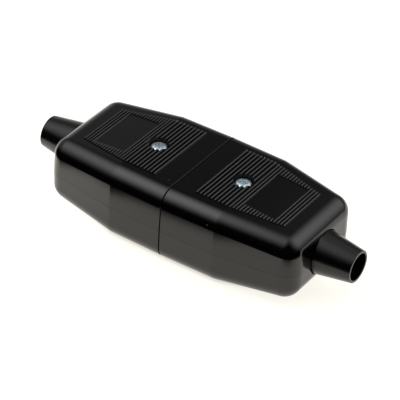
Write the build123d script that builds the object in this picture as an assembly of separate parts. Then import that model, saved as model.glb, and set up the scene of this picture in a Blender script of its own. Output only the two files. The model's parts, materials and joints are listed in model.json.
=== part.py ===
from build123d import *
from math import cos, radians
import os

os.makedirs("parts", exist_ok=True)

# An in-line connector for a flexible cable, in millimetres. X runs along the cable, Z is up.
# The origin lies on the resting plane, midway between the two halves that plug together.
# Each half is built on the +X side, with X measured from the seam, and the mains half is mirrored.

# Housing outside
half_length = 44.0
seam_half_width = 20.75
crease_narrowing = 0.35
end_narrowing = 3.9
crease_x = 18.4
height = 24.5
end_drop = 2.05
draft = 1.26
edge_radius = 5.3
inner_bevel_ratio = 0.45
corner_radius = 5.7
seam_gap = 0.4
seam_edge_bevel = 0.06
parting_gap = 0.05
parting_below_cable = 0.7

# Housing walls and the lap joint between cover and base
wall = 2.3
lap_skin = 1.1
lap_height = 1.4
lap_clearance = 0.1

# Grip ribs on the cover: wide ones up to the crease, fine ones around a plain panel beyond it
wide_rib_start = 7.5
wide_rib_pitch = 1.265
wide_rib_width = 0.78
wide_rib_height = 0.6
wide_rib_crown = 0.13
fine_rib_start = 18.95
fine_rib_pitch = 1.03
fine_rib_width = 0.56
fine_rib_height = 0.42
fine_rib_crown = 0.12
inner_rib_count = 3
panel_rib_count = 10
outer_rib_count = 4
rib_end_margin = 1.5
rib_shortening_ratio = 0.217
panel_rib_length = 4.25
rib_side_slope_ratio = 0.2
rib_crown_slope_ratio = 0.7

# Cable sleeve
cable_below_middle = 0.15
sleeve_length = 11.7
sleeve_root_radius = 6.9
sleeve_mouth_radius = 5.12
sleeve_bore_radius = 4.35
sleeve_flange_radius = 7.9
sleeve_flange_thickness = 2.0
sleeve_tail = 1.2
sleeve_rim_bevel = 0.12
sleeve_clearance = 0.2
sleeve_hole_chamfer = 0.25

# Contact carriers and the spacing of the two contacts
contact_spacing = 14.4
pin_radius = 2.0
pin_fit = 0.05
pin_recess = 1.0
pin_tip_bevel = 0.8
tube_wall = 0.95
tube_clearance = 0.1
tube_lip = 0.8
tube_slot_length = 5.4
carrier_wall = 1.85
nose_length = 9.2
nose_clearance = 0.3
nose_tip_clearance = 0.4
nose_corner_radius = 4.0
nose_tip_bevel = 0.3
shroud_wall = 1.7
shroud_floor = 2.2
flange_width = 1.7
flange_thickness = 2.0
flange_headroom = 1.1
carrier_clearance = 0.15
carrier_rib = 1.6
socket_carrier_depth = 10.0

# Terminals
terminal_length = 8.2
terminal_width = 5.4
terminal_height = 7.0
terminal_gap = 0.2
terminal_chamfer = 0.45
wire_hole_radius = 1.6
wire_hole_depth = 6.4
terminal_screw_radius = 1.4
terminal_screw_head_radius = 2.1
terminal_screw_head_height = 1.5
terminal_screw_lift = 0.5
terminal_screw_setback = 4.6
thread_clearance = 0.05

# Casing screw, its posts and its captive nut
screw_x = 15.1
screw_radius = 1.75
screw_head_radius = 2.6
screw_head_height = 2.0
screw_head_bevel = 0.45
screw_head_sink = 0.75
screw_hole_clearance = 0.2
counterbore_radius = 3.1
counterbore_wall = 1.1
post_wall = 0.95
nut_across_flats = 6.0
nut_thickness = 2.6
nut_clearance = 0.05
nut_recess = 1.0
nut_pocket_wall = 1.2
recess_reach = 1.5
recess_slot = 0.75
recess_depth = 1.3

# Cord grip
grip_setback = 11.0
grip_width = 5.5
grip_radius = 4.3
grip_arch_wall = 1.9
grip_ear_thickness = 2.2
grip_ear_drop = 1.45
grip_screw_spacing = 18.8
grip_post_radius = 2.7
grip_screw_radius = 1.45
grip_screw_head_radius = 2.5
grip_screw_head_height = 1.8
grip_screw_length = 8.0
grip_ear_hole_clearance = 0.25
grip_ear_margin = 0.2
saddle_half_width = 6.0
saddle_top_drop = 2.2
grip_ear_corner = 1.8
grip_screw_hole_spare = 0.3

# Details that all the screws share
slot_width = 0.7
slot_depth = 0.8
screw_tip_chamfer = 0.35

# How far a cut runs past what it cuts
over = 1.0

# Places that follow from the sizes above
lead = edge_radius + over
seam_face = seam_gap / 2
crease_half_width = seam_half_width - crease_narrowing
end_half_width = crease_half_width - end_narrowing
rib_half_width = crease_half_width - edge_radius - rib_end_margin
panel_half_width = rib_half_width - panel_rib_length
fine_rib_count = inner_rib_count + panel_rib_count + outer_rib_count
cable_z = height / 2 - cable_below_middle
parting_z = cable_z - parting_below_cable
grip_x = half_length - grip_setback
roof_slope = end_drop / (half_length - crease_x)
screw_hole_radius = screw_radius + screw_hole_clearance
screw_seat = height - screw_head_sink - screw_head_height
tube_radius = pin_radius + pin_fit + tube_wall
tube_pocket_radius = tube_radius + tube_clearance
nose_width = contact_spacing + 2 * (tube_pocket_radius + carrier_wall)
nose_height = 2 * (tube_pocket_radius + carrier_wall)
shroud_width = nose_width + 2 * nose_clearance
shroud_height = nose_height + 2 * nose_clearance
shroud_corner_radius = nose_corner_radius + nose_clearance
shroud_end = nose_length + nose_tip_clearance
flange_start = seam_face + wall + carrier_clearance
nut_pocket_radius = (nut_across_flats / 2 + nut_clearance) / cos(radians(30))
ear_low = cable_z - grip_ear_drop


def rod(radius, start, end, y=0.0):
    # A round bar along the cable at the height of its axis.
    plane = Plane(origin=(start, y, cable_z), x_dir=(0, 1, 0), z_dir=(1, 0, 0))
    return extrude(plane * Circle(radius), amount=end - start)


def rounded_bar(width, tall, radius, start, end):
    # A bar along the cable with a rounded rectangular section, centred on its axis.
    plane = Plane(origin=(start, 0, cable_z), x_dir=(0, 1, 0), z_dir=(1, 0, 0))
    return extrude(plane * RectangleRounded(width, tall, radius), amount=end - start)


def post(radius, x, y, low, high):
    return extrude(Pos(x, y, low) * Circle(radius), amount=high - low)


def hexagon(across_flats, x, low, high):
    shape = RegularPolygon(across_flats / 2, 6, major_radius=False)
    return extrude(Pos(x, 0, low) * shape, amount=high - low)


def block(low, high, from_x=-4 * half_length):
    # Everything between two heights, from a given distance off the seam.
    width = 4 * seam_half_width
    solid = Box(8 * half_length, width, high - low, align=(Align.MIN, Align.CENTER, Align.MIN))
    return Pos(from_x, 0, low) * solid


def plan_outline(inset):
    # The outline at the parting plane: nearly parallel sides, a crease, then a narrowing end.
    flare = (seam_half_width - crease_half_width) / crease_x
    near_side = [
        (-lead, -seam_half_width - flare * lead),
        (crease_x, -crease_half_width),
        (half_length, -end_half_width),
    ]
    far_side = [(x, -y) for x, y in reversed(near_side)]
    face = make_face(Polyline(*near_side, *far_side, close=True))
    face = fillet(face.vertices().sort_by(Axis.X)[-2:], corner_radius)
    return offset(face, -inset) if inset else face


def roof_profile(rise, reach):
    # Side view of what lies under the roof, which falls away beyond the crease.
    near_x = -lead - over
    far_x = half_length + over
    return Polyline(
        (near_x, -reach),
        (near_x, rise),
        (crease_x, rise),
        (far_x, rise - roof_slope * (far_x - crease_x)),
        (far_x, -reach),
        close=True,
    )


def moulding(inset, rise):
    # One half of the body above its parting plane, drawn in all round by an inset.
    form = extrude(plan_outline(inset), amount=rise, taper=draft)
    side = Plane.XZ * make_face(roof_profile(rise - inset, over))
    form = form & extrude(side, amount=2 * seam_half_width, both=True)
    upward = cos(radians(30))
    roofs = [face for face in form.faces() if face.normal_at().Z > upward]
    rim = [
        edge
        for face in roofs
        for edge in face.edges()
        if abs(edge.center().Y) > over or edge.center().X > crease_x + over
    ]
    if inset:
        form = chamfer(rim, inner_bevel_ratio * (edge_radius - inset))
    else:
        form = fillet(rim, edge_radius)
    form = form & block(-over, rise + over, seam_face + inset)
    if inset:
        return form
    seam_rim = [edge for edge in form.edges().group_by(Axis.X)[0] if edge.center().Z > parting_gap]
    return chamfer(seam_rim, seam_edge_bevel)


def upper(inset):
    return Pos(0, 0, parting_z) * moulding(inset, height - parting_z)


def lower(inset):
    return Pos(0, 0, parting_z) * mirror(moulding(inset, parting_z), about=Plane.XY)


def rib_half_width_at(x):
    # The ribs keep one length up to the crease and shorten beyond it.
    return rib_half_width - rib_shortening_ratio * max(0.0, x - crease_x)


def ridge(x, low_y, high_y, width, rib_height, crown):
    # One straight ridge across the roof, with drafted sides and a crown of two slopes and a flat.
    foot = width / 2 + rib_height * rib_side_slope_ratio
    crest = width / 2 - rib_height * rib_side_slope_ratio
    flat = crest - crown / rib_crown_slope_ratio
    right = [(foot, -wall / 2), (foot, 0), (crest, rib_height - crown), (flat, rib_height)]
    left = [(-across, up) for across, up in reversed(right)]
    outline = [(x + across, roof_z(x + across) + up) for across, up in right + left]
    section = make_face(Polyline(*outline, close=True))
    return extrude(Plane.XZ.offset(-high_y) * section, amount=high_y - low_y)


def roof_z(x):
    return height - roof_slope * max(0.0, x - crease_x)


def grip_ribs():
    ribs = []
    wide_count = int((crease_x - wide_rib_start) / wide_rib_pitch) + 1
    sizes = (wide_rib_width, wide_rib_height, wide_rib_crown)
    for index in range(wide_count):
        x = wide_rib_start + index * wide_rib_pitch
        ribs.append(ridge(x, -rib_half_width, rib_half_width, *sizes))
    sizes = (fine_rib_width, fine_rib_height, fine_rib_crown)
    for index in range(fine_rib_count):
        x = fine_rib_start + index * fine_rib_pitch
        reach = rib_half_width_at(x)
        if inner_rib_count <= index < inner_rib_count + panel_rib_count:
            for low_y, high_y in ((-reach, -panel_half_width), (panel_half_width, reach)):
                ribs.append(ridge(x, low_y, high_y, *sizes))
        else:
            ribs.append(ridge(x, -reach, reach, *sizes))
    return ribs


def carrier_opening(width, tall, radius):
    # What is cut from the seam wall and the rib behind it to take a contact carrier.
    end = flange_start + flange_thickness + carrier_clearance + carrier_rib + over
    grown = 2 * carrier_clearance
    return rounded_bar(width + grown, tall + grown, radius + carrier_clearance, -over, end)


def carrier_wall_rib(low, high):
    # A cross wall behind the carrier's flange, so that the flange can't move inwards.
    start = flange_start + flange_thickness + carrier_clearance
    return block(low, high, start) - block(low - over, high + over, start + carrier_rib)


def sleeve_hole():
    # The round hole through the end wall, its rim eased outside, with a pocket for the flange.
    radius = sleeve_root_radius + sleeve_clearance
    hole = rod(radius, half_length - wall - over, half_length + over)
    pocket_end = half_length - wall
    pocket_start = pocket_end - sleeve_flange_thickness - 2 * sleeve_clearance
    hole += rod(sleeve_flange_radius + sleeve_clearance, pocket_start, pocket_end)
    start = half_length - sleeve_hole_chamfer
    plane = Plane(origin=(start, 0, cable_z), x_dir=(0, 1, 0), z_dir=(1, 0, 0))
    depth = sleeve_hole_chamfer + over
    rim = Cone(radius, radius + depth, depth, align=(Align.CENTER, Align.CENTER, Align.MIN))
    return hole + plane * rim


def cover(opening):
    # Upper shell: roof with grip ribs, side walls, a stepped screw post and a rebate for the lap.
    cavity = upper(wall)
    shell = upper(0) - cavity
    shell += grip_ribs()
    step = screw_seat - counterbore_wall
    posts = post(counterbore_radius + counterbore_wall, screw_x, 0, step, height - wall / 2)
    posts += post(screw_hole_radius + post_wall, screw_x, 0, parting_z, height - wall / 2)
    posts += carrier_wall_rib(parting_z, height) & cavity
    shell += posts
    rebate = (upper(lap_skin) - cavity) & block(parting_z - over, parting_z + lap_height + lap_clearance)
    shell -= rebate
    shell -= opening
    shell -= sleeve_hole()
    shell -= post(counterbore_radius, screw_x, 0, screw_seat, height + over)
    shell -= post(screw_hole_radius, screw_x, 0, parting_z - over, height)
    return shell & block(parting_z + parting_gap, height + over)


def base(opening):
    # Lower shell: side walls with a lap, a screw post over the nut pocket, saddle and grip posts.
    cavity = lower(wall)
    shell = lower(0) - cavity
    lap = (upper(lap_skin + lap_clearance) - upper(wall)) & block(0, parting_z + lap_height)
    pocket_top = nut_recess + nut_thickness
    inner = post(screw_hole_radius + post_wall, screw_x, 0, wall / 2, parting_z)
    inner += post(nut_pocket_radius + nut_pocket_wall, screw_x, 0, wall / 2, pocket_top + nut_pocket_wall)
    inner += carrier_wall_rib(0, parting_z) & cavity
    floor_z = wall / 2 + roof_slope * (grip_x - crease_x)
    for side in (-1, 1):
        inner += post(grip_post_radius, grip_x, side * grip_screw_spacing / 2, floor_z, ear_low)
    saddle_size = (grip_width, 2 * saddle_half_width, cable_z - saddle_top_drop - floor_z)
    saddle = Box(*saddle_size, align=(Align.CENTER, Align.CENTER, Align.MIN))
    inner += Pos(grip_x, 0, floor_z) * saddle - rod(grip_radius, 0, half_length)
    shell += inner
    shell += lap
    shell -= opening
    shell -= sleeve_hole()
    shell -= hexagon(nut_across_flats + 2 * nut_clearance, screw_x, -over, pocket_top)
    shell -= post(screw_hole_radius, screw_x, 0, 0, height)
    for side in (-1, 1):
        y = side * grip_screw_spacing / 2
        bottom = ear_low + grip_ear_thickness - grip_screw_length - grip_screw_hole_spare
        shell -= post(grip_screw_radius + thread_clearance, grip_x, y, bottom, height)
    return shell


def sleeve():
    # Flexible cable sleeve: a tapered spout, a neck in the end wall and a flange behind it.
    inner_face = half_length - wall - sleeve_clearance
    tail_start = inner_face - sleeve_flange_thickness - sleeve_tail
    mouth_x = half_length + sleeve_length
    neck_end = half_length + sleeve_clearance
    profile = make_face(
        Polyline(
            (tail_start, sleeve_bore_radius),
            (tail_start, sleeve_root_radius - sleeve_clearance),
            (inner_face - sleeve_flange_thickness, sleeve_root_radius),
            (inner_face - sleeve_flange_thickness, sleeve_flange_radius),
            (inner_face, sleeve_flange_radius),
            (inner_face, sleeve_root_radius),
            (neck_end, sleeve_root_radius),
            (mouth_x, sleeve_mouth_radius),
            (mouth_x, sleeve_bore_radius),
            close=True,
        )
    )
    solid = revolve(Plane.XZ * profile, Axis.X)
    outer_rim = solid.edges().group_by(Axis.X)[-1].sort_by(SortBy.LENGTH)[-1]
    solid = chamfer(outer_rim, sleeve_rim_bevel)
    return Pos(0, 0, cable_z) * solid


def terminal_block(start, y):
    # A brass block with a wire hole from behind and a threaded hole from above.
    size = (terminal_length, terminal_width, terminal_height)
    solid = Pos(start, y, cable_z) * Box(*size, align=(Align.MIN, Align.CENTER, Align.CENTER))
    edges = solid.edges().filter_by(Axis.X)
    solid = chamfer(edges, terminal_chamfer)
    end = start + terminal_length
    solid -= rod(wire_hole_radius, end - wire_hole_depth, end + over, y)
    hole = terminal_screw_radius + thread_clearance
    solid -= post(hole, end - terminal_screw_setback, y, cable_z, cable_z + terminal_height)
    return solid


def terminal_start(carrier_end):
    return carrier_end + terminal_gap


def pin_contact(y):
    # A round pin with a bevelled tip, in one piece with its terminal block.
    start = seam_face + pin_recess
    block_start = terminal_start(shroud_end + shroud_floor)
    pin = rod(pin_radius, start, block_start + terminal_chamfer, y)
    pin = chamfer(pin.edges().group_by(Axis.X)[0], pin_tip_bevel)
    return pin + terminal_block(block_start, y)


def socket_contact(y):
    # A bored tube that grips the pin, in one piece with its terminal block.
    block_start = terminal_start(socket_carrier_depth)
    tube_start = -nose_length + tube_lip
    tube = rod(tube_radius, tube_start, block_start + terminal_chamfer, y)
    solid = tube + terminal_block(block_start, y)
    solid -= rod(pin_radius + pin_fit, tube_start - over, 0, y)
    slot = Box(2 * tube_slot_length, slot_width, 4 * tube_radius)
    return solid - Pos(tube_start, y, cable_z) * slot


def carrier_flange(width, tall, radius):
    # The flange stands out at the sides, and fills the cavity's height but for some headroom.
    end = flange_start + flange_thickness
    flange_height = 2 * (cable_z - wall - flange_headroom)
    return rounded_bar(width + 2 * flange_width, flange_height, radius, flange_start, end)


def pin_carrier():
    # A cup: its walls shroud the pins, its floor carries them, its flange locks into the shells.
    outer = (shroud_width + 2 * shroud_wall, shroud_height + 2 * shroud_wall)
    radius = shroud_corner_radius + shroud_wall
    end = shroud_end + shroud_floor
    solid = rounded_bar(*outer, radius, seam_face + carrier_clearance, end)
    solid += carrier_flange(*outer, radius)
    solid -= rounded_bar(shroud_width, shroud_height, shroud_corner_radius, -over, shroud_end)
    for side in (-1, 1):
        solid -= rod(pin_radius + pin_fit, 0, end + over, side * contact_spacing / 2)
    return solid


def socket_carrier():
    # A solid nose that enters the shroud, with two stepped holes for the contact tubes.
    solid = rounded_bar(nose_width, nose_height, nose_corner_radius, -nose_length, socket_carrier_depth)
    solid = chamfer(solid.edges().group_by(Axis.X)[0], nose_tip_bevel)
    solid += carrier_flange(nose_width, nose_height, nose_corner_radius)
    for side in (-1, 1):
        y = side * contact_spacing / 2
        solid -= rod(tube_pocket_radius, -nose_length + tube_lip - tube_clearance, half_length, y)
        solid -= rod(pin_radius + nose_clearance, -nose_length - over, 0, y)
    return solid


def slotted_screw(head_radius, head_height, radius, length):
    # A cheese-headed screw that points down from the underside of its head at the origin.
    head = post(head_radius, 0, 0, 0, head_height)
    slot = Pos(0, 0, head_height) * Box(3 * head_radius, slot_width, 2 * slot_depth)
    return head + post(radius, 0, 0, -length, 0) - slot


def terminal_screw(block_start, y):
    x = block_start + terminal_length - terminal_screw_setback
    top = cable_z + terminal_height / 2 + terminal_screw_lift
    length = terminal_height / 2 + terminal_screw_lift - wire_hole_radius / 2
    screw = slotted_screw(terminal_screw_head_radius, terminal_screw_head_height, terminal_screw_radius, length)
    return Pos(x, y, top) * screw


def grip_screw(y):
    screw = slotted_screw(
        grip_screw_head_radius, grip_screw_head_height, grip_screw_radius, grip_screw_length
    )
    return Pos(grip_x, y, ear_low + grip_ear_thickness) * screw


def casing_screw():
    # A pan head with a cross recess, on a shank that reaches down into the nut.
    head = post(screw_head_radius, 0, 0, 0, screw_head_height)
    head = chamfer(head.edges().group_by(Axis.Z)[-1], screw_head_bevel)
    shank = post(screw_radius, 0, 0, nut_recess - screw_seat, 0)
    shank = chamfer(shank.edges().group_by(Axis.Z)[0], screw_tip_chamfer)
    screw = head + shank
    top = Pos(0, 0, screw_head_height)
    screw -= top * Box(2 * recess_reach, recess_slot, 2 * recess_depth)
    screw -= top * Box(recess_slot, 2 * recess_reach, 2 * recess_depth)
    screw -= top * Pos(0, 0, -recess_depth / 2) * Cone(recess_slot / 3, recess_slot, recess_depth)
    return Pos(screw_x, 0, screw_seat) * screw


def casing_nut():
    nut = hexagon(nut_across_flats, screw_x, nut_recess, nut_recess + nut_thickness)
    return nut - post(screw_radius + thread_clearance, screw_x, 0, 0, height)


def grip_bar():
    # A saddle strap: a half ring over the cable and two ears on the posts.
    plane = Plane(origin=(grip_x - grip_width / 2, 0, cable_z), x_dir=(0, 1, 0), z_dir=(1, 0, 0))
    arch = Circle(grip_radius + grip_arch_wall)
    ear_span = grip_screw_spacing + 2 * (grip_post_radius + grip_ear_margin)
    ears = Pos(0, -grip_ear_drop + grip_ear_thickness / 2) * Rectangle(ear_span, grip_ear_thickness)
    below = Pos(0, -grip_ear_drop) * Rectangle(
        2 * ear_span, 2 * ear_span, align=(Align.CENTER, Align.MAX)
    )
    section = arch + ears - Circle(grip_radius) - below
    solid = extrude(plane * section, amount=grip_width)
    uprights = solid.edges().filter_by(Axis.Z)
    corners = uprights.sort_by(Axis.Y)[:2] + uprights.sort_by(Axis.Y)[-2:]
    solid = fillet(corners, grip_ear_corner)
    for side in (-1, 1):
        hole = grip_screw_radius + grip_ear_hole_clearance
        solid -= post(hole, grip_x, side * grip_screw_spacing / 2, 0, height)
    return solid


def half(opening, carrier_end):
    # The pieces that both halves share.
    start = terminal_start(carrier_end)
    side_y = contact_spacing / 2
    return {
        "cover": cover(opening),
        "base": base(opening),
        "sleeve": sleeve(),
        "casing_screw": casing_screw(),
        "casing_nut": casing_nut(),
        "grip_bar": grip_bar(),
        "grip_screw_left": grip_screw(grip_screw_spacing / 2),
        "grip_screw_right": grip_screw(-grip_screw_spacing / 2),
        "live_terminal_screw": terminal_screw(start, side_y),
        "neutral_terminal_screw": terminal_screw(start, -side_y),
    }


def save(solid, name):
    export_step(solid, f"parts/{name}.step")


pin_opening = carrier_opening(
    shroud_width + 2 * shroud_wall, shroud_height + 2 * shroud_wall, shroud_corner_radius + shroud_wall
)
socket_opening = carrier_opening(nose_width, nose_height, nose_corner_radius)

appliance = half(pin_opening, shroud_end + shroud_floor)
for name, solid in appliance.items():
    save(solid, f"appliance_{name}")
save(pin_carrier(), "pin_carrier")
save(pin_contact(contact_spacing / 2), "live_pin")
save(pin_contact(-contact_spacing / 2), "neutral_pin")

mains = half(socket_opening, socket_carrier_depth)
for name, solid in mains.items():
    save(mirror(solid, about=Plane.YZ), f"mains_{name}")
save(mirror(socket_carrier(), about=Plane.YZ), "socket_carrier")
save(mirror(socket_contact(contact_spacing / 2), about=Plane.YZ), "live_socket")
save(mirror(socket_contact(-contact_spacing / 2), about=Plane.YZ), "neutral_socket")
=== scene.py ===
import bpy
import bmesh
import json
import math
from mathutils import Matrix, Vector


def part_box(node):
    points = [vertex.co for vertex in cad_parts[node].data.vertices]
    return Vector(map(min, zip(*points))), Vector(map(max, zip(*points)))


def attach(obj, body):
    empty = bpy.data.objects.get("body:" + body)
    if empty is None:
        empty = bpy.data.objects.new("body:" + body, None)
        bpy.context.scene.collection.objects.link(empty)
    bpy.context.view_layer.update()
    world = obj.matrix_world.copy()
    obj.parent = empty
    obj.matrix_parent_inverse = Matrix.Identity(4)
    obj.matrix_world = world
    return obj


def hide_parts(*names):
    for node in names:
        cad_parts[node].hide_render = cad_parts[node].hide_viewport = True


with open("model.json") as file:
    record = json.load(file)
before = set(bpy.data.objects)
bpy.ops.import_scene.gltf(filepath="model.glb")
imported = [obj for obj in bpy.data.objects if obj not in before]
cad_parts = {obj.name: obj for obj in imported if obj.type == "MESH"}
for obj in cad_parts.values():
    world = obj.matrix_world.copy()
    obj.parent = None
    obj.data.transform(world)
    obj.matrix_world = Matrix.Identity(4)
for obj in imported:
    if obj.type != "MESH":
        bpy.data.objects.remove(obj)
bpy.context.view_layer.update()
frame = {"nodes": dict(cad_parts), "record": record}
mm = 0.001
alongAxis = 0.9  # cosine above which a face or an edge counts as lying along an axis
noiseSpan = (0.3, 0.7)  # most values of a noise texture lie between these two
print("frame loaded")

# The photograph's camera, fitted to the outline.
# Angles are in degrees, lens and sensor in millimetres, the rest in metres.
camera = {
    "azimuth": 31.905,
    "elevation": 35.987,
    "roll": 3.784,
    "distance": 0.67752,
    "slideX": -0.000364,
    "slideY": 0.001147,
    "aimHeight": 0.01226,
    "lens": 203.83,
    "sensor": 36.0,
    "clipStart": 0.01,
}


def addCamera():
    around, above, roll = (math.radians(camera[key]) for key in ("azimuth", "elevation", "roll"))
    back = Vector((
        math.sin(around) * math.cos(above), -math.cos(around) * math.cos(above), math.sin(above),
    ))
    right = Vector((0, 0, 1)).cross(back).normalized()
    up = back.cross(right)
    side = right * math.cos(roll) + up * math.sin(roll)
    top = up * math.cos(roll) - right * math.sin(roll)
    aim = Vector((0, 0, camera["aimHeight"]))
    eye = aim + back * camera["distance"] - side * camera["slideX"] - top * camera["slideY"]
    data = bpy.data.cameras.new("photoCamera")
    data.lens = camera["lens"]
    data.sensor_width = camera["sensor"]
    data.clip_start = camera["clipStart"]
    obj = bpy.data.objects.new("photoCamera", data)
    turn = Matrix((side, top, back)).transposed().to_4x4()
    obj.matrix_world = Matrix.Translation(eye) @ turn
    bpy.context.scene.collection.objects.link(obj)
    bpy.context.scene.camera = obj


addCamera()
print("camera placed")


def srgb(code):
    # hex colour to the linear values that the shader wants
    parts = [int(code[i:i + 2], 16) / 255 for i in (0, 2, 4)]
    linear = [
        part / 12.92 if part <= 0.04045 else ((part + 0.055) / 1.055) ** 2.4 for part in parts
    ]
    return (*linear, 1.0)


def addNode(tree, kind, settings=None, inputs=None, links=None):
    # one node with its settings, input values and links in
    node = tree.nodes.new(kind)
    for key, value in (settings or {}).items():
        setattr(node, key, value)
    for key, value in (inputs or {}).items():
        node.inputs[key].default_value = value
    for key, source in (links or {}).items():
        tree.links.new(source, node.inputs[key])
    return node


def newMaterial(name):
    mat = bpy.data.materials.new(name)
    mat.use_nodes = True
    mat.node_tree.nodes.clear()
    return mat, mat.node_tree


def perMetre(sizeMm):
    # texture scale for a pattern whose features are this many millimetres apart
    return 1 / (sizeMm * mm)


def dullPits(tree, place, look, rough):
    # the screw pits come from a plain core pin, so they shine less than the polished skin
    fold = addNode(
        tree, "ShaderNodeVectorMath", {"operation": "ABSOLUTE"}, None, {0: place},
    ).outputs[0]
    flat = addNode(
        tree, "ShaderNodeVectorMath", {"operation": "MULTIPLY"}, {1: (1, 1, 0)}, {0: fold},
    ).outputs[0]
    reach = addNode(
        tree, "ShaderNodeVectorMath", {"operation": "DISTANCE"},
        {1: (look["pitX"], 0, 0)}, {0: flat},
    ).outputs["Value"]
    inPit = addNode(
        tree, "ShaderNodeMath", {"operation": "LESS_THAN"}, {1: look["pitRadius"]}, {0: reach},
    ).outputs[0]
    return addNode(
        tree, "ShaderNodeMix", {"data_type": "FLOAT"},
        {3: look["pitRoughness"]}, {0: inPit, 2: rough},
    ).outputs[0]


def surfaceOf(name, look):
    # colour and roughness that drift, two sizes of bump, and specks
    mat, tree = newMaterial(name)
    place = addNode(tree, "ShaderNodeTexCoord").outputs["Object"]
    broad = addNode(
        tree, "ShaderNodeTexNoise", None,
        {"Scale": perMetre(look["waveMm"]), "Detail": 1.0}, {"Vector": place},
    ).outputs["Fac"]
    grain = addNode(
        tree, "ShaderNodeTexNoise", None,
        {"Scale": perMetre(look["grainMm"]), "Detail": 3.0, "Roughness": 0.6}, {"Vector": place},
    ).outputs["Fac"]
    dots = addNode(
        tree, "ShaderNodeTexVoronoi", None,
        {"Scale": perMetre(look["speckEveryMm"])}, {"Vector": place},
    ).outputs["Distance"]
    speckRadius = look["speckMm"] / look["speckEveryMm"] / 2  # as a share of the specks' spacing
    speck = addNode(
        tree, "ShaderNodeMath", {"operation": "LESS_THAN"}, {1: speckRadius}, {0: dots},
    ).outputs[0]
    body = addNode(
        tree, "ShaderNodeMix", {"data_type": "RGBA"},
        {6: srgb(look["colour"]), 7: srgb(look["shade"])}, {0: broad},
    ).outputs[2]
    colour = addNode(
        tree, "ShaderNodeMix", {"data_type": "RGBA"},
        {7: srgb(look["speck"])}, {0: speck, 6: body},
    ).outputs[2]
    smoothest, roughest = look["roughness"]
    rough = addNode(
        tree, "ShaderNodeMapRange", None,
        {
            "From Min": noiseSpan[0], "From Max": noiseSpan[1],
            "To Min": smoothest, "To Max": roughest,
        },
        {"Value": grain},
    ).outputs[0]
    if "pitRoughness" in look:
        rough = dullPits(tree, place, look, rough)
    wave = addNode(
        tree, "ShaderNodeBump", None,
        {"Strength": look["waveStrength"], "Distance": look["waveDepthMm"] * mm}, {"Height": broad},
    ).outputs[0]
    fine = addNode(
        tree, "ShaderNodeBump", None,
        {"Strength": look["grainStrength"], "Distance": look["grainDepthMm"] * mm},
        {"Height": grain, "Normal": wave},
    ).outputs[0]
    shader = addNode(
        tree, "ShaderNodeBsdfPrincipled", None, {"IOR": look["ior"], "Metallic": look["metallic"]},
        {"Base Color": colour, "Roughness": rough, "Normal": fine},
    ).outputs[0]
    addNode(tree, "ShaderNodeOutputMaterial", None, None, {"Surface": shader})
    return mat


# Housing: black ABS, injection moulded in a polished tool.
# The eye gets a black body, a hard wet-looking sheen with a faint waviness, and a little dust.
glossBlackAbs = {
    "colour": "030303", "shade": "060606",
    "speck": "8c8c88", "speckEveryMm": 9.0, "speckMm": 0.24,
    "waveMm": 2.4, "waveDepthMm": 0.03, "waveStrength": 0.15,
    "grainMm": 0.4, "grainDepthMm": 0.008, "grainStrength": 0.1,  # real tool grain is nearer 0.05
    "roughness": (0.11, 0.17), "ior": 1.5, "metallic": 0.0,
    "pitX": 15.1 * mm, "pitRadius": 3.12 * mm, "pitRoughness": 0.6,
}

# Sleeves: flexible PVC, moulded.
# The eye gets a slightly softer sheen than the housing, with a fine uneven skin and lint.
flexiblePvc = {
    "colour": "040404", "shade": "080807",
    "speck": "9a9a94", "speckEveryMm": 6.0, "speckMm": 0.22,
    "waveMm": 1.8, "waveDepthMm": 0.04, "waveStrength": 0.2,
    "grainMm": 0.3, "grainDepthMm": 0.012, "grainStrength": 0.15,  # real grain is nearer 0.08
    "roughness": (0.19, 0.28), "ior": 1.45, "metallic": 0.0,  # new PVC is nearer 1.53
}

# Contact carriers: black nylon, moulded in an eroded tool.
# The eye gets a charcoal body, an even satin grain and no clear reflection.
satinNylon = {
    "colour": "1c1c1d", "shade": "242425",
    "speck": "3a3a3a", "speckEveryMm": 3.0, "speckMm": 0.2,
    "waveMm": 3.0, "waveDepthMm": 0.03, "waveStrength": 0.2,
    "grainMm": 0.25, "grainDepthMm": 0.02, "grainStrength": 0.35,  # real grain is nearer 0.08
    "roughness": (0.42, 0.55), "ior": 1.53, "metallic": 0.0,
}

# Cord grips: glass-filled nylon, moulded.
# The eye gets a dark body with paler fibre flecks and a dull, uneven skin.
fibreNylon = {
    "colour": "17171a", "shade": "1f1f22",
    "speck": "6c6c6e", "speckEveryMm": 0.9, "speckMm": 0.14,  # real fibres are nearer 0.01 thick
    "waveMm": 1.2, "waveDepthMm": 0.04, "waveStrength": 0.3,
    "grainMm": 0.2, "grainDepthMm": 0.02, "grainStrength": 0.4,
    "roughness": (0.5, 0.68), "ior": 1.53, "metallic": 0.0,
}

# Screws and nuts: steel, blue zinc plated and passivated.
# The eye gets a pale bluish metal, with a fine crystalline sparkle and small dull stains.
blueZinc = {
    "colour": "dbe9f2", "shade": "c3d3dd",
    "speck": "8f9aa0", "speckEveryMm": 0.8, "speckMm": 0.12,
    "waveMm": 0.7, "waveDepthMm": 0.04, "waveStrength": 0.4,
    "grainMm": 0.12, "grainDepthMm": 0.01, "grainStrength": 0.5,  # real crystals are nearer 0.02
    "roughness": (0.32, 0.52), "ior": 1.5, "metallic": 1.0,
}


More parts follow.
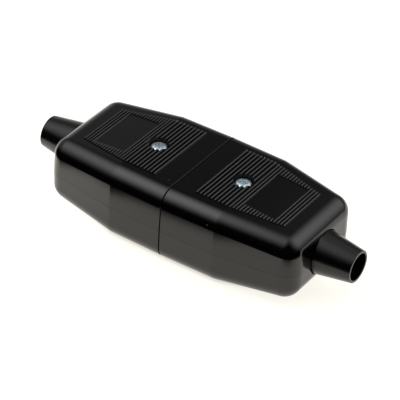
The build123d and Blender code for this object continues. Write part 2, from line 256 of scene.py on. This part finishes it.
def turnedBrass(name, look):
    # rings from the tool run round the axis, so they only depend on the place along it
    mat, tree = newMaterial(name)
    place = addNode(tree, "ShaderNodeTexCoord").outputs["Object"]
    ringScale = perMetre(look["feedMm"]) * math.pi / 10  # at scale 1 the bands lie pi / 10 apart
    rings = addNode(
        tree, "ShaderNodeTexWave", {"wave_type": "BANDS", "bands_direction": "X"},
        {"Scale": ringScale, "Distortion": look["ringWander"], "Detail": 1.0}, {"Vector": place},
    ).outputs["Fac"]
    stain = addNode(
        tree, "ShaderNodeTexNoise", None,
        {"Scale": perMetre(look["stainMm"]), "Detail": 3.0}, {"Vector": place},
    ).outputs["Fac"]
    colour = addNode(
        tree, "ShaderNodeMix", {"data_type": "RGBA"},
        {6: srgb(look["colour"]), 7: srgb(look["tarnish"])}, {0: stain},
    ).outputs[2]
    smoothest, roughest = look["roughness"]
    rough = addNode(
        tree, "ShaderNodeMapRange", None,
        {
            "From Min": noiseSpan[0], "From Max": noiseSpan[1],
            "To Min": smoothest, "To Max": roughest,
        },
        {"Value": stain},
    ).outputs[0]
    cut = addNode(
        tree, "ShaderNodeBump", None,
        {"Strength": look["ringStrength"], "Distance": look["ringDepthMm"] * mm}, {"Height": rings},
    ).outputs[0]
    shader = addNode(
        tree, "ShaderNodeBsdfPrincipled", None, {"Metallic": 1.0},
        {"Base Color": colour, "Roughness": rough, "Normal": cut},
    ).outputs[0]
    addNode(tree, "ShaderNodeOutputMaterial", None, None, {"Surface": shader})
    return mat


# Contacts: free-cutting brass, turned and milled.
# The eye gets a warm yellow metal with fine rings round the pins and a light brown bloom.
brass = {
    "colour": "e3c277", "tarnish": "b58f4b",
    "feedMm": 0.5,  # real feed marks are about 0.08, drawn coarser to show
    "ringDepthMm": 0.01, "ringStrength": 0.3, "ringWander": 0.6,
    "stainMm": 2.5,
    "roughness": (0.2, 0.38),
}

finishes = {
    "housing": surfaceOf("glossBlackAbs", glossBlackAbs),
    "sleeve": surfaceOf("flexiblePvc", flexiblePvc),
    "insulator": surfaceOf("satinNylon", satinNylon),
    "grip": surfaceOf("fibreNylon", fibreNylon),
    "contact": turnedBrass("turnedBrass", brass),
    "screw": surfaceOf("blueZinc", blueZinc),
}
slotOf = {part["node"]: part["material_slot"] for part in frame["record"]["subparts"]}
for name, obj in frame["nodes"].items():
    for slot in obj.material_slots:
        slot.material = finishes[slotOf[name]]
print("materials set")


def startPiece():
    # nothing selected, and object mode on
    if bpy.context.object and bpy.context.object.mode != "OBJECT":
        bpy.ops.object.mode_set(mode="OBJECT")
    bpy.ops.object.select_all(action="DESELECT")


def selectFaces(obj, test):
    # leaves edit mode on, with only the faces that pass the test selected
    bpy.ops.object.mode_set(mode="EDIT")
    bpy.ops.mesh.select_mode(type="FACE")
    bpy.ops.mesh.select_all(action="DESELECT")
    work = bmesh.from_edit_mesh(obj.data)
    work.normal_update()
    for face in work.faces:
        face.select = test(face)
    work.select_flush_mode()
    bmesh.update_edit_mesh(obj.data)


def easeEdges(obj, look):
    # small rounds on the sharp edges, then smooth shading over the rounds
    ease = obj.modifiers.new("ease", "BEVEL")
    ease.width = look["edgeEase"]
    ease.segments = 2
    ease.limit_method = "ANGLE"
    ease.angle_limit = math.radians(look["easeAbove"])
    startPiece()
    bpy.context.view_layer.objects.active = obj
    obj.select_set(True)
    bpy.ops.object.modifier_apply(modifier="ease")
    bpy.ops.object.shade_smooth_by_angle(angle=math.radians(look["smoothBelow"]))


# Casing screws: domed heads with a cross recess. The thread is drawn as separate rings.
casingScrew = {
    "sides": 48,
    "collarHeight": 1.55 * mm,
    "domeHeight": 1.05 * mm,
    "domeSquareness": 2.4,  # 2 is a plain oval section, more is flatter on top
    "domeSteps": 10,
    "cadHeadHeight": 2.0 * mm,
    "shankRadius": 1.75 * mm,
    "plainLength": 9.0 * mm,
    "threadRoot": 1.42 * mm,
    "threadPitch": 0.7 * mm,
    "cuts": [
        # the cross and the small ticks between its arms, with how far each one's foot narrows
        {"reach": 1.6 * mm, "width": 0.75 * mm, "depth": 1.6 * mm, "turns": (0, 90), "foot": 0.4},
        {"reach": 1.8 * mm, "width": 0.3 * mm, "depth": 0.35 * mm, "turns": (45, 135), "foot": 0.9},
    ],
    "cutterRise": 0.5 * mm,  # each cutter stands this far out of the head
    "centre": {"radius": 0.72 * mm, "foot": 0.5, "depth": 1.6 * mm, "sides": 24},
    "turn": {"mains": 32, "appliance": 77},  # degrees, as each recess stands in the photograph
    "edgeEase": 0.08 * mm,
    "easeAbove": 40,  # degrees, and the next one too
    "smoothBelow": 32,
}


def cutAway(obj, cutter):
    cut = obj.modifiers.new("cut", "BOOLEAN")
    cut.operation = "DIFFERENCE"
    cut.solver = "EXACT"
    cut.object = cutter
    startPiece()
    bpy.context.view_layer.objects.active = obj
    bpy.ops.object.modifier_apply(modifier="cut")
    bpy.data.objects.remove(cutter)


def recessCutter(cut, top, turnBy):
    # a block that narrows downwards, standing in the top of the head
    startPiece()
    bpy.ops.mesh.primitive_cube_add(size=1, location=(0, 0, 0))
    block = bpy.context.active_object
    for vertex in block.data.vertices:
        low = vertex.co.z < 0
        shrink = cut["foot"] if low else 1.0
        vertex.co.x *= 2 * cut["reach"] * shrink
        vertex.co.y *= cut["width"] * (0.5 + shrink / 2)  # narrows half as much across
        vertex.co.z = -cut["depth"] if low else casingScrew["cutterRise"]
    turn = Matrix.Rotation(math.radians(turnBy), 4, "Z")
    block.data.transform(Matrix.Translation(top) @ turn)
    return block


def pushOut(rise, share, middle):
    # the selected faces move along the screw, and then widen or narrow about its axis
    bpy.ops.mesh.extrude_region_move(TRANSFORM_OT_translate={"value": (0, 0, rise)})
    bpy.ops.transform.resize(value=(share, share, 1), center_override=middle)


def shapeDome(screw, top, rim):
    look = casingScrew
    selectFaces(screw, lambda face: face.normal.z > alongAxis)
    power = 2 / look["domeSquareness"]
    lastShare, lastRise = 1.0, 0.0
    for i in range(1, look["domeSteps"]):
        angle = i / look["domeSteps"] * math.pi / 2
        share, rise = math.cos(angle) ** power, math.sin(angle) ** power * look["domeHeight"]
        pushOut(rise - lastRise, share / lastShare, (top.x, top.y, rim + rise))
        lastShare, lastRise = share, rise


def shapeShank(screw, top, seat, foot, headRadius):
    look = casingScrew
    selectFaces(screw, lambda face: face.normal.z < -alongAxis)
    bpy.ops.mesh.inset(thickness=headRadius - look["shankRadius"])
    bpy.ops.mesh.extrude_region_move(TRANSFORM_OT_translate={"value": (0, 0, -look["plainLength"])})
    z = seat - look["plainLength"]
    step = look["threadPitch"] / 2
    narrow = look["threadRoot"] / look["shankRadius"]
    inward = True
    while z - step > foot:
        z -= step
        pushOut(-step, narrow if inward else 1 / narrow, (top.x, top.y, z))
        inward = not inward
    bpy.ops.mesh.extrude_region_move(TRANSFORM_OT_translate={"value": (0, 0, foot - z)})
    bpy.ops.object.mode_set(mode="OBJECT")


def cutRecess(screw, top, turnBy):
    for cut in casingScrew["cuts"]:
        for more in cut["turns"]:
            cutAway(screw, recessCutter(cut, top, turnBy + more))
    centre = casingScrew["centre"]
    startPiece()
    bpy.ops.mesh.primitive_cone_add(
        vertices=centre["sides"],
        radius1=centre["radius"] * centre["foot"], radius2=centre["radius"],
        depth=2 * centre["depth"], location=top,
    )
    cone = bpy.context.active_object
    bpy.ops.object.transform_apply(location=True, rotation=True, scale=True)
    cutAway(screw, cone)


def buildCasingScrew(half):
    look = casingScrew
    low, high = (Vector(corner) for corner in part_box(f"{half}_casing_screw"))
    radius = (high.x - low.x) / 2
    seat = high.z - look["cadHeadHeight"]
    rim = seat + look["collarHeight"]
    top = Vector(((low.x + high.x) / 2, (low.y + high.y) / 2, rim + look["domeHeight"]))
    startPiece()
    bpy.ops.mesh.primitive_cylinder_add(
        vertices=look["sides"], radius=radius, depth=look["collarHeight"],
        location=(top.x, top.y, (seat + rim) / 2),
    )
    screw = bpy.context.active_object
    screw.name = f"{half}CasingScrew"
    bpy.ops.object.transform_apply(location=True, rotation=True, scale=True)
    shapeDome(screw, top, rim)
    shapeShank(screw, top, seat, low.z, radius)
    cutRecess(screw, top, look["turn"][half])
    easeEdges(screw, look)
    screw.data.materials.clear()
    screw.data.materials.append(finishes["screw"])
    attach(screw, f"{half}_half")
    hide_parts(f"{half}_casing_screw")


for half in ("mains", "appliance"):
    buildCasingScrew(half)
print("casing screws built")

# Seam lip: a low step on the appliance half's mating face, so that no light shows through the seam.
seamLip = {
    "roofZ": 24.5 * mm,
    "setIn": 0.5 * mm,
    "cornerRadius": 4.8 * mm,
    "cornerSteps": 10,
    "width": 0.9 * mm,
    "rootX": 0.25 * mm,
    "tipX": -0.17 * mm,
    "edgeEase": 0.08 * mm,
    "easeAbove": 60,  # degrees, and the next one too
    "smoothBelow": 35,
}


def buildSeamLip():
    look = seamLip
    low, high = (Vector(corner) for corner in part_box("appliance_cover"))
    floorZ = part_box("appliance_base")[0][2]
    roofZ = look["roofZ"]
    wide = high.y - low.y - 2 * look["setIn"]
    tall = roofZ - floorZ - 2 * look["setIn"]
    startPiece()
    bpy.ops.mesh.primitive_cube_add(
        size=1, location=((look["rootX"] + look["tipX"]) / 2, 0, (roofZ + floorZ) / 2),
    )
    lip = bpy.context.active_object
    lip.name = "seamLip"
    lip.scale = (look["rootX"] - look["tipX"], wide, tall)
    bpy.ops.object.transform_apply(location=True, rotation=True, scale=True)
    bpy.ops.object.mode_set(mode="EDIT")
    bpy.ops.mesh.select_mode(type="EDGE")
    bpy.ops.mesh.select_all(action="DESELECT")
    work = bmesh.from_edit_mesh(lip.data)
    for edge in work.edges:
        along = edge.verts[0].co - edge.verts[1].co
        edge.select = abs(along.x) > alongAxis * along.length
    bmesh.update_edit_mesh(lip.data)
    bpy.ops.mesh.bevel(offset=look["cornerRadius"], segments=look["cornerSteps"], affect="EDGES")
    selectFaces(lip, lambda face: abs(face.normal.x) > alongAxis)
    bpy.ops.mesh.inset(thickness=look["width"])
    bpy.ops.mesh.bridge_edge_loops()
    bpy.ops.mesh.select_all(action="SELECT")
    bpy.ops.mesh.normals_make_consistent(inside=False)
    easeEdges(lip, look)
    lip.data.materials.append(finishes["housing"])
    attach(lip, "appliance_half")


buildSeamLip()
print("seam lip built")

# The stage: a white table with a painted pool of light and a painted contact shadow, a light tent
# with three soft boxes and a low black card in front.
# Tent and card only show in reflections, as they stand outside the picture.
stage = {
    "floorSize": 6.0,
    "floorDrop": 0.01 * mm,
    "floorGlow": 0.9,
    "floorTint": "fffcf4",
    "floorBody": "b4b0a8",
    # the table's colour under the painted contact shadow
    "paintedShadowColour": "706c66",
    "paintedPoolPlace": (-62 * mm, -34 * mm, 0),  # a painted pool of light on the table, in its clear white part
    "paintedPoolReach": 50 * mm,
    "paintedPoolLevel": 0.42,
    # painted contact shadow: its reach, how far it dims the table's glow, and its samples
    "contactReach": 1.0 * mm,
    "contactShade": 0.66,
    "contactSamples": 8,
    "tentRadius": 0.5,
    "tentFoot": -1 * mm,
    "tentBase": 0.012,
    "softBoxes": [
        # direction, cosines at the outer edge and at the middle, how fast it fades, level
        {
            "toward": (-0.444, -0.271, 0.854), "outer": 0.572, "inner": 1.0,
            "fade": 2.8, "level": 2.6,
        },
        {
            "toward": (0.545, 0.459, 0.701), "outer": 0.531, "inner": 0.98,
            "fade": 2.7, "level": 1.82,
        },
        {
            "toward": (-0.679, 0.410, -0.609), "outer": -0.355, "inner": 0.935,
            "fade": 3.1, "level": 1.155,
        },
    ],
    "cardLine": [  # where it stands on the table, in millimetres
        (-75, -12), (-61, -27), (-49, -34.2), (-37, -36.6), (-22.7, -40.3), (-2.7, -41.3),
        (14.3, -42.4), (28.5, -43.6), (45, -38.5), (59.6, -28), (70, -15), (76, 0),
    ],
    "cardColour": "030303",
    "cardHeight": 28 * mm,
    "cardFadeLow": 3.6 * mm,
    "cardFadeHigh": 8 * mm,
}


def lightTable():
    startPiece()
    bpy.ops.mesh.primitive_plane_add(size=stage["floorSize"], location=(0, 0, -stage["floorDrop"]))
    floor = bpy.context.active_object
    floor.name = "floor"
    mat, tree = newMaterial("whiteTable")
    path = addNode(tree, "ShaderNodeLightPath").outputs
    seen = addNode(
        tree, "ShaderNodeMath", {"operation": "ADD"}, None,
        {0: path["Is Camera Ray"], 1: path["Is Glossy Ray"]},
    ).outputs[0]
    seen = addNode(
        tree, "ShaderNodeMath", {"operation": "ADD", "use_clamp": True}, None,
        {0: seen, 1: path["Is Transmission Ray"]},
    ).outputs[0]
    place = addNode(tree, "ShaderNodeTexCoord").outputs["Object"]
    away = addNode(
        tree, "ShaderNodeVectorMath", {"operation": "DISTANCE"},
        {1: stage["paintedPoolPlace"]}, {0: place},
    ).outputs["Value"]
    # painted pool of light: the table glows brighter towards one place on it
    level = addNode(
        tree, "ShaderNodeMapRange", {"interpolation_type": "SMOOTHSTEP"},
        {
            "From Min": 0, "From Max": stage["paintedPoolReach"],
            "To Min": stage["floorGlow"] + stage["paintedPoolLevel"], "To Max": stage["floorGlow"],
        },
        {"Value": away},
    ).outputs[0]
    # painted contact shadow: the table's glow and colour darken where the object stands close over
    # it
    near = addNode(
        tree, "ShaderNodeAmbientOcclusion", {"samples": stage["contactSamples"]},
        {"Distance": stage["contactReach"]},
    ).outputs["AO"]
    contact = addNode(
        tree, "ShaderNodeMapRange", None,
        {"To Min": stage["contactShade"], "To Max": 1}, {"Value": near},
    ).outputs[0]
    shaded = addNode(
        tree, "ShaderNodeMath", {"operation": "MULTIPLY"}, None, {0: level, 1: contact},
    ).outputs[0]
    glow = addNode(
        tree, "ShaderNodeMath", {"operation": "MULTIPLY"}, None, {0: seen, 1: shaded},
    ).outputs[0]
    light = addNode(
        tree, "ShaderNodeEmission", None, {"Color": srgb(stage["floorTint"])}, {"Strength": glow},
    ).outputs[0]
    # painted shadow colour close under the object, the plain table colour further off
    paintedShadowMix = addNode(
        tree, "ShaderNodeMix", {"data_type": "RGBA"},
        {6: srgb(stage["paintedShadowColour"]), 7: srgb(stage["floorBody"])}, {0: near},
    ).outputs[2]
    body = addNode(tree, "ShaderNodeBsdfDiffuse", None, None, {"Color": paintedShadowMix}).outputs[0]
    both = addNode(tree, "ShaderNodeAddShader", None, None, {0: light, 1: body}).outputs[0]
    addNode(tree, "ShaderNodeOutputMaterial", None, None, {"Surface": both})
    floor.data.materials.append(mat)


def lightTent():
    startPiece()
    bpy.ops.mesh.primitive_uv_sphere_add(segments=48, ring_count=24, radius=stage["tentRadius"])
    tent = bpy.context.active_object
    tent.name = "lightTent"
    bpy.ops.object.mode_set(mode="EDIT")
    bpy.ops.mesh.bisect(plane_co=(0, 0, stage["tentFoot"]), plane_no=(0, 0, 1), clear_inner=True)
    bpy.ops.object.mode_set(mode="OBJECT")
    mat, tree = newMaterial("tentCloth")
    place = addNode(tree, "ShaderNodeTexCoord").outputs["Object"]
    way = addNode(
        tree, "ShaderNodeVectorMath", {"operation": "NORMALIZE"}, None, {0: place},
    ).outputs[0]
    total = None
    for box in stage["softBoxes"]:
        toward = tuple(Vector(box["toward"]).normalized())
        near = addNode(
            tree, "ShaderNodeVectorMath", {"operation": "DOT_PRODUCT"}, {1: toward}, {0: way},
        ).outputs["Value"]
        share = addNode(
            tree, "ShaderNodeMapRange", None,
            {"From Min": box["outer"], "From Max": box["inner"]}, {"Value": near},
        ).outputs[0]
        faded = addNode(
            tree, "ShaderNodeMath", {"operation": "POWER"}, {1: box["fade"]}, {0: share},
        ).outputs[0]
        links = {0: faded}
        if total is not None:  # the first box starts from the tent's own level
            links[2] = total
        total = addNode(
            tree, "ShaderNodeMath", {"operation": "MULTIPLY_ADD"},
            {1: box["level"], 2: stage["tentBase"]}, links,
        ).outputs[0]
    light = addNode(
        tree, "ShaderNodeEmission", None, {"Color": (1, 1, 1, 1)}, {"Strength": total},
    ).outputs[0]
    addNode(tree, "ShaderNodeOutputMaterial", None, None, {"Surface": light})
    tent.data.materials.append(mat)
    tent.visible_camera = False


def blackCard():
    # bent round the front of the object, and see-through towards its lower and upper edges
    startPiece()
    line = bpy.data.curves.new("cardLine", "CURVE")
    line.dimensions = "3D"
    line.extrude = stage["cardHeight"] / 2
    spline = line.splines.new("BEZIER")
    spline.bezier_points.add(len(stage["cardLine"]) - 1)
    for point, (x, y) in zip(spline.bezier_points, stage["cardLine"]):
        point.co = (x * mm, y * mm, stage["cardHeight"] / 2)
        point.handle_left_type = point.handle_right_type = "AUTO"
    card = bpy.data.objects.new("blackCard", line)
    bpy.context.scene.collection.objects.link(card)
    bpy.context.view_layer.objects.active = card
    card.select_set(True)
    bpy.ops.object.convert(target="MESH")
    mat, tree = newMaterial("blackCard")
    place = addNode(tree, "ShaderNodeTexCoord").outputs["Object"]
    up = addNode(tree, "ShaderNodeSeparateXYZ", None, None, {0: place}).outputs[2]
    low = addNode(
        tree, "ShaderNodeMapRange", {"interpolation_type": "SMOOTHSTEP"},
        {"From Min": 0, "From Max": stage["cardFadeLow"]}, {"Value": up},
    ).outputs[0]
    fullBelow = stage["cardHeight"] - stage["cardFadeHigh"]
    high = addNode(
        tree, "ShaderNodeMapRange", {"interpolation_type": "SMOOTHSTEP"},
        {"From Min": stage["cardHeight"], "From Max": fullBelow}, {"Value": up},
    ).outputs[0]
    solid = addNode(
        tree, "ShaderNodeMath", {"operation": "MULTIPLY"}, None, {0: low, 1: high},
    ).outputs[0]
    clear = addNode(tree, "ShaderNodeBsdfTransparent").outputs[0]
    black = addNode(
        tree, "ShaderNodeBsdfDiffuse", None, {"Color": srgb(stage["cardColour"])},
    ).outputs[0]
    both = addNode(
        tree, "ShaderNodeMixShader", None, None, {0: solid, 1: clear, 2: black},
    ).outputs[0]
    addNode(tree, "ShaderNodeOutputMaterial", None, None, {"Surface": both})
    card.data.materials.append(mat)
    card.visible_camera = False
    card.visible_diffuse = False
    card.visible_shadow = False


lightTable()
lightTent()
blackCard()
world = bpy.data.worlds.new("studio")
bpy.context.scene.world = world
world.use_nodes = True
sky = world.node_tree.nodes["Background"].inputs
sky["Color"].default_value = (1, 1, 1, 1)
sky["Strength"].default_value = 1.0
bpy.context.scene.view_settings.view_transform = "Standard"
print("stage built")
